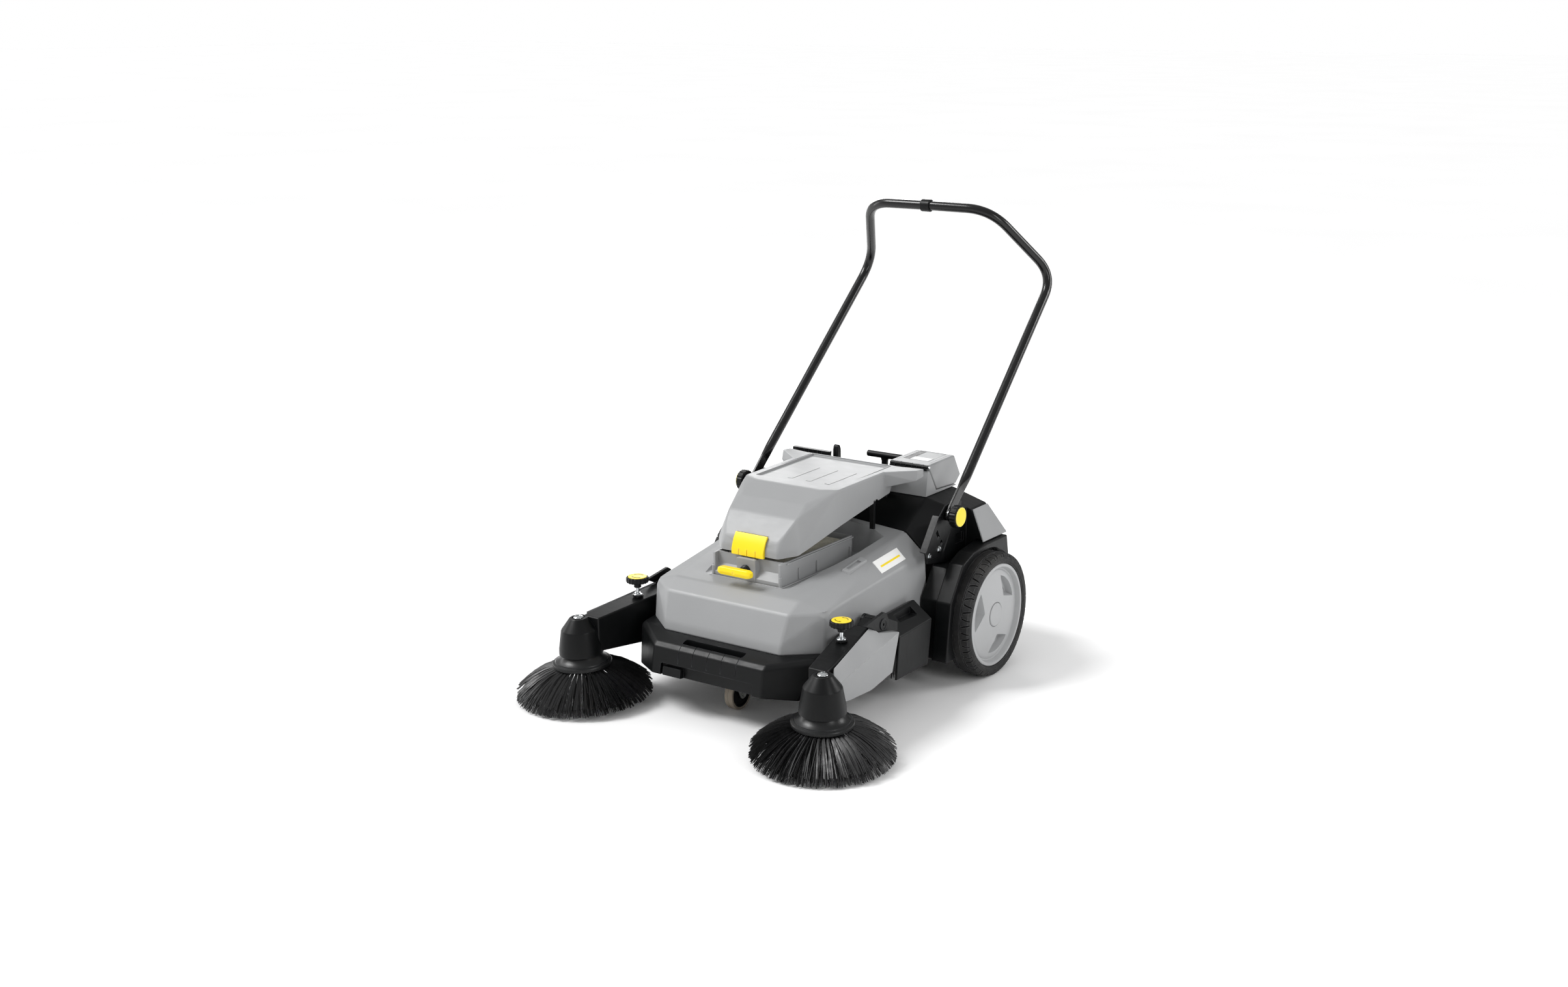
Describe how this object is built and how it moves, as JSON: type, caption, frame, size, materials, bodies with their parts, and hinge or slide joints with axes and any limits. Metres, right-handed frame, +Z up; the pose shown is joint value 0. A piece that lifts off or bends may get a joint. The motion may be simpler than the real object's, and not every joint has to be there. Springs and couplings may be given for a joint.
{
  "type": "walk behind sweeper",
  "caption": "Battery powered walk-behind sweeper with two side brushes, hinged filter hood, folding push handle and a slide-out waste container.",
  "frame": {"origin": "on the floor, under the middle of the bounding box", "axes": "+X to the machine's left as the operator sees it reversed (image right), -Y towards the front, +Z up"},
  "size_m": [0.915, 1.196, 1.0185],
  "materials": {
    "grey_plastic": "satin moulded",
    "rim_plastic": "satin moulded",
    "black_plastic": "fine grained moulded",
    "battery_case": "moulded",
    "bristle": "polypropylene bristle",
    "tyre_rubber": "moulded tread",
    "belt_rubber": "ribbed",
    "castor_rubber": "non-marking",
    "painted_steel": "gloss black powder coat",
    "yellow_plastic": "moulded",
    "chrome": "polished",
    "zinc_steel": "zinc plated",
    "motor_case": "cast",
    "filter_paper": "pleated"
  },
  "bodies": {
    "machine": {"arm_pivot_pin_l": "zinc_steel", "arm_pivot_pin_r": "zinc_steel", "battery_pack": "battery_case", "castor_plate": "zinc_steel", "chassis": "black_plastic", "drive_belt": "belt_rubber", "drive_motor": "motor_case", "fender_l": "black_plastic", "fender_panel_l": "grey_plastic", "fender_panel_r": "grey_plastic", "fender_r": "black_plastic", "filter_housing": "grey_plastic", "flat_filter": "filter_paper", "front_bumper": "black_plastic", "front_deck": "grey_plastic", "handle_bracket_l": "painted_steel", "handle_bracket_r": "painted_steel", "hinge_bracket": "black_plastic", "hinge_rail": "black_plastic", "hood_hinge_pin": "zinc_steel", "rear_axle": "zinc_steel", "rear_box": "grey_plastic", "rear_housing": "black_plastic", "side_box_l": "black_plastic", "side_box_r": "black_plastic"},
    "hood": {"hood": "grey_plastic"},
    "hood_latch": {"hood_latch": "yellow_plastic"},
    "filter_shaker": {"filter_shaker": "yellow_plastic"},
    "selector_lever": {"selector_lever": "black_plastic"},
    "push_handle": {"push_handle": "painted_steel", "handle_sleeve": "black_plastic"},
    "box_lid": {"box_lid": "grey_plastic"},
    "castor_fork": {"castor_fork": "zinc_steel"},
    "castor_wheel": {"castor_wheel": "castor_rubber"},
    "main_roller": {"main_roller": "bristle"},
    "motor_pulley": {"motor_pulley": "black_plastic"},
    "waste_container": {"waste_container": "black_plastic", "container_handle": "black_plastic"},
    "clamp_knob_l": {"clamp_knob_l": "black_plastic", "clamp_cap_l": "yellow_plastic"},
    "side_arm_l": {"side_arm_l": "black_plastic", "arm_cover_l": "grey_plastic", "hub_screw_l": "chrome"},
    "adjust_knob_l": {"adjust_knob_l": "black_plastic", "adjust_cap_l": "yellow_plastic"},
    "side_brush_l": {"brush_plate_l": "black_plastic", "brush_bristles_l": "bristle"},
    "wheel_l": {"tyre_l": "tyre_rubber", "rim_l": "rim_plastic"},
    "clamp_knob_r": {"clamp_knob_r": "black_plastic", "clamp_cap_r": "yellow_plastic"},
    "side_arm_r": {"side_arm_r": "black_plastic", "arm_cover_r": "grey_plastic", "hub_screw_r": "chrome"},
    "adjust_knob_r": {"adjust_knob_r": "black_plastic", "adjust_cap_r": "yellow_plastic"},
    "side_brush_r": {"brush_plate_r": "black_plastic", "brush_bristles_r": "bristle"},
    "wheel_r": {"tyre_r": "tyre_rubber", "rim_r": "rim_plastic"}
  },
  "joints": [
    {"name": "hood_open", "type": "hinge", "parent": "machine", "child": "hood", "pos_m": [0, 0.1464, 0.447], "axis": [-1, 0, 0], "range_deg": [0, 60]},
    {"name": "latch_tilt", "type": "hinge", "parent": "hood", "child": "hood_latch", "pos_m": [0, -0.2566, 0.371], "axis": [-1, 0, 0], "range_deg": [0, 25]},
    {"name": "shaker_pull", "type": "slide", "parent": "machine", "child": "filter_shaker", "axis": [0, -1, 0], "range_m": [0, 0.02]},
    {"name": "lever_tilt", "type": "hinge", "parent": "machine", "child": "selector_lever", "pos_m": [-0.067, 0.1744, 0.434], "axis": [1, 0, 0], "range_deg": [-25, 0]},
    {"name": "handle_fold", "type": "hinge", "parent": "machine", "child": "push_handle", "pos_m": [0, 0.1134, 0.374], "axis": [1, 0, 0], "range_deg": [-15, 110]},
    {"name": "lid_open", "type": "hinge", "parent": "machine", "child": "box_lid", "pos_m": [0.131, 0.1654, 0.4585], "axis": [1, 0, 0], "range_deg": [0, 75]},
    {"name": "castor_swivel", "type": "hinge", "parent": "machine", "child": "castor_fork", "pos_m": [0, -0.3276, 0.086], "axis": [0, 0, 1], "continuous": true},
    {"name": "castor_roll", "type": "hinge", "parent": "castor_fork", "child": "castor_wheel", "pos_m": [0, -0.3096, 0.036], "axis": [1, 0, 0], "continuous": true},
    {"name": "roller_spin", "type": "hinge", "parent": "machine", "child": "main_roller", "pos_m": [0, 0.0404, 0.112], "axis": [1, 0, 0], "continuous": true},
    {"name": "pulley_spin", "type": "hinge", "parent": "machine", "child": "motor_pulley", "pos_m": [0.204, -0.0716, 0.23], "axis": [1, 0, 0], "continuous": true},
    {"name": "container_out", "type": "slide", "parent": "machine", "child": "waste_container", "axis": [0, 1, 0], "range_m": [0, 0.28]},
    {"name": "clamp_turn_l", "type": "hinge", "parent": "machine", "child": "clamp_knob_l", "pos_m": [0.283, 0.1134, 0.374], "axis": [1, 0, 0], "range_deg": [0, 720]},
    {"name": "arm_lift_l", "type": "hinge", "parent": "machine", "child": "side_arm_l", "pos_m": [0.265, -0.1946, 0.212], "axis": [-1, 0, 0], "range_deg": [0, 12]},
    {"name": "adjust_turn_l", "type": "hinge", "parent": "side_arm_l", "child": "adjust_knob_l", "pos_m": [0.265, -0.3156, 0.243], "axis": [0, 0, -1], "range_deg": [0, 720]},
    {"name": "brush_spin_l", "type": "hinge", "parent": "side_arm_l", "child": "side_brush_l", "pos_m": [0.314, -0.4576, 0.1895], "axis": [0.0314, -0.0523, 0.9981], "continuous": true},
    {"name": "wheel_spin_l", "type": "hinge", "parent": "machine", "child": "wheel_l", "pos_m": [0.325, 0.1904, 0.14], "axis": [1, 0, 0], "continuous": true},
    {"name": "clamp_turn_r", "type": "hinge", "parent": "machine", "child": "clamp_knob_r", "pos_m": [-0.283, 0.1134, 0.374], "axis": [-1, 0, 0], "range_deg": [0, 720]},
    {"name": "arm_lift_r", "type": "hinge", "parent": "machine", "child": "side_arm_r", "pos_m": [-0.265, -0.1946, 0.212], "axis": [-1, 0, 0], "range_deg": [0, 12]},
    {"name": "adjust_turn_r", "type": "hinge", "parent": "side_arm_r", "child": "adjust_knob_r", "pos_m": [-0.265, -0.3156, 0.243], "axis": [0, 0, -1], "range_deg": [0, 720]},
    {"name": "brush_spin_r", "type": "hinge", "parent": "side_arm_r", "child": "side_brush_r", "pos_m": [-0.314, -0.4576, 0.1895], "axis": [-0.0314, -0.0523, 0.9981], "continuous": true},
    {"name": "wheel_spin_r", "type": "hinge", "parent": "machine", "child": "wheel_r", "pos_m": [-0.325, 0.1904, 0.14], "axis": [1, 0, 0], "continuous": true}
  ],
  "couplings": [
    {"joint": "pulley_spin", "follows": "roller_spin", "ratio": 2.2857},
    {"joint": "adjust_turn_l", "follows": "arm_lift_l", "ratio": 60},
    {"joint": "adjust_turn_r", "follows": "arm_lift_r", "ratio": 60}
  ]
}
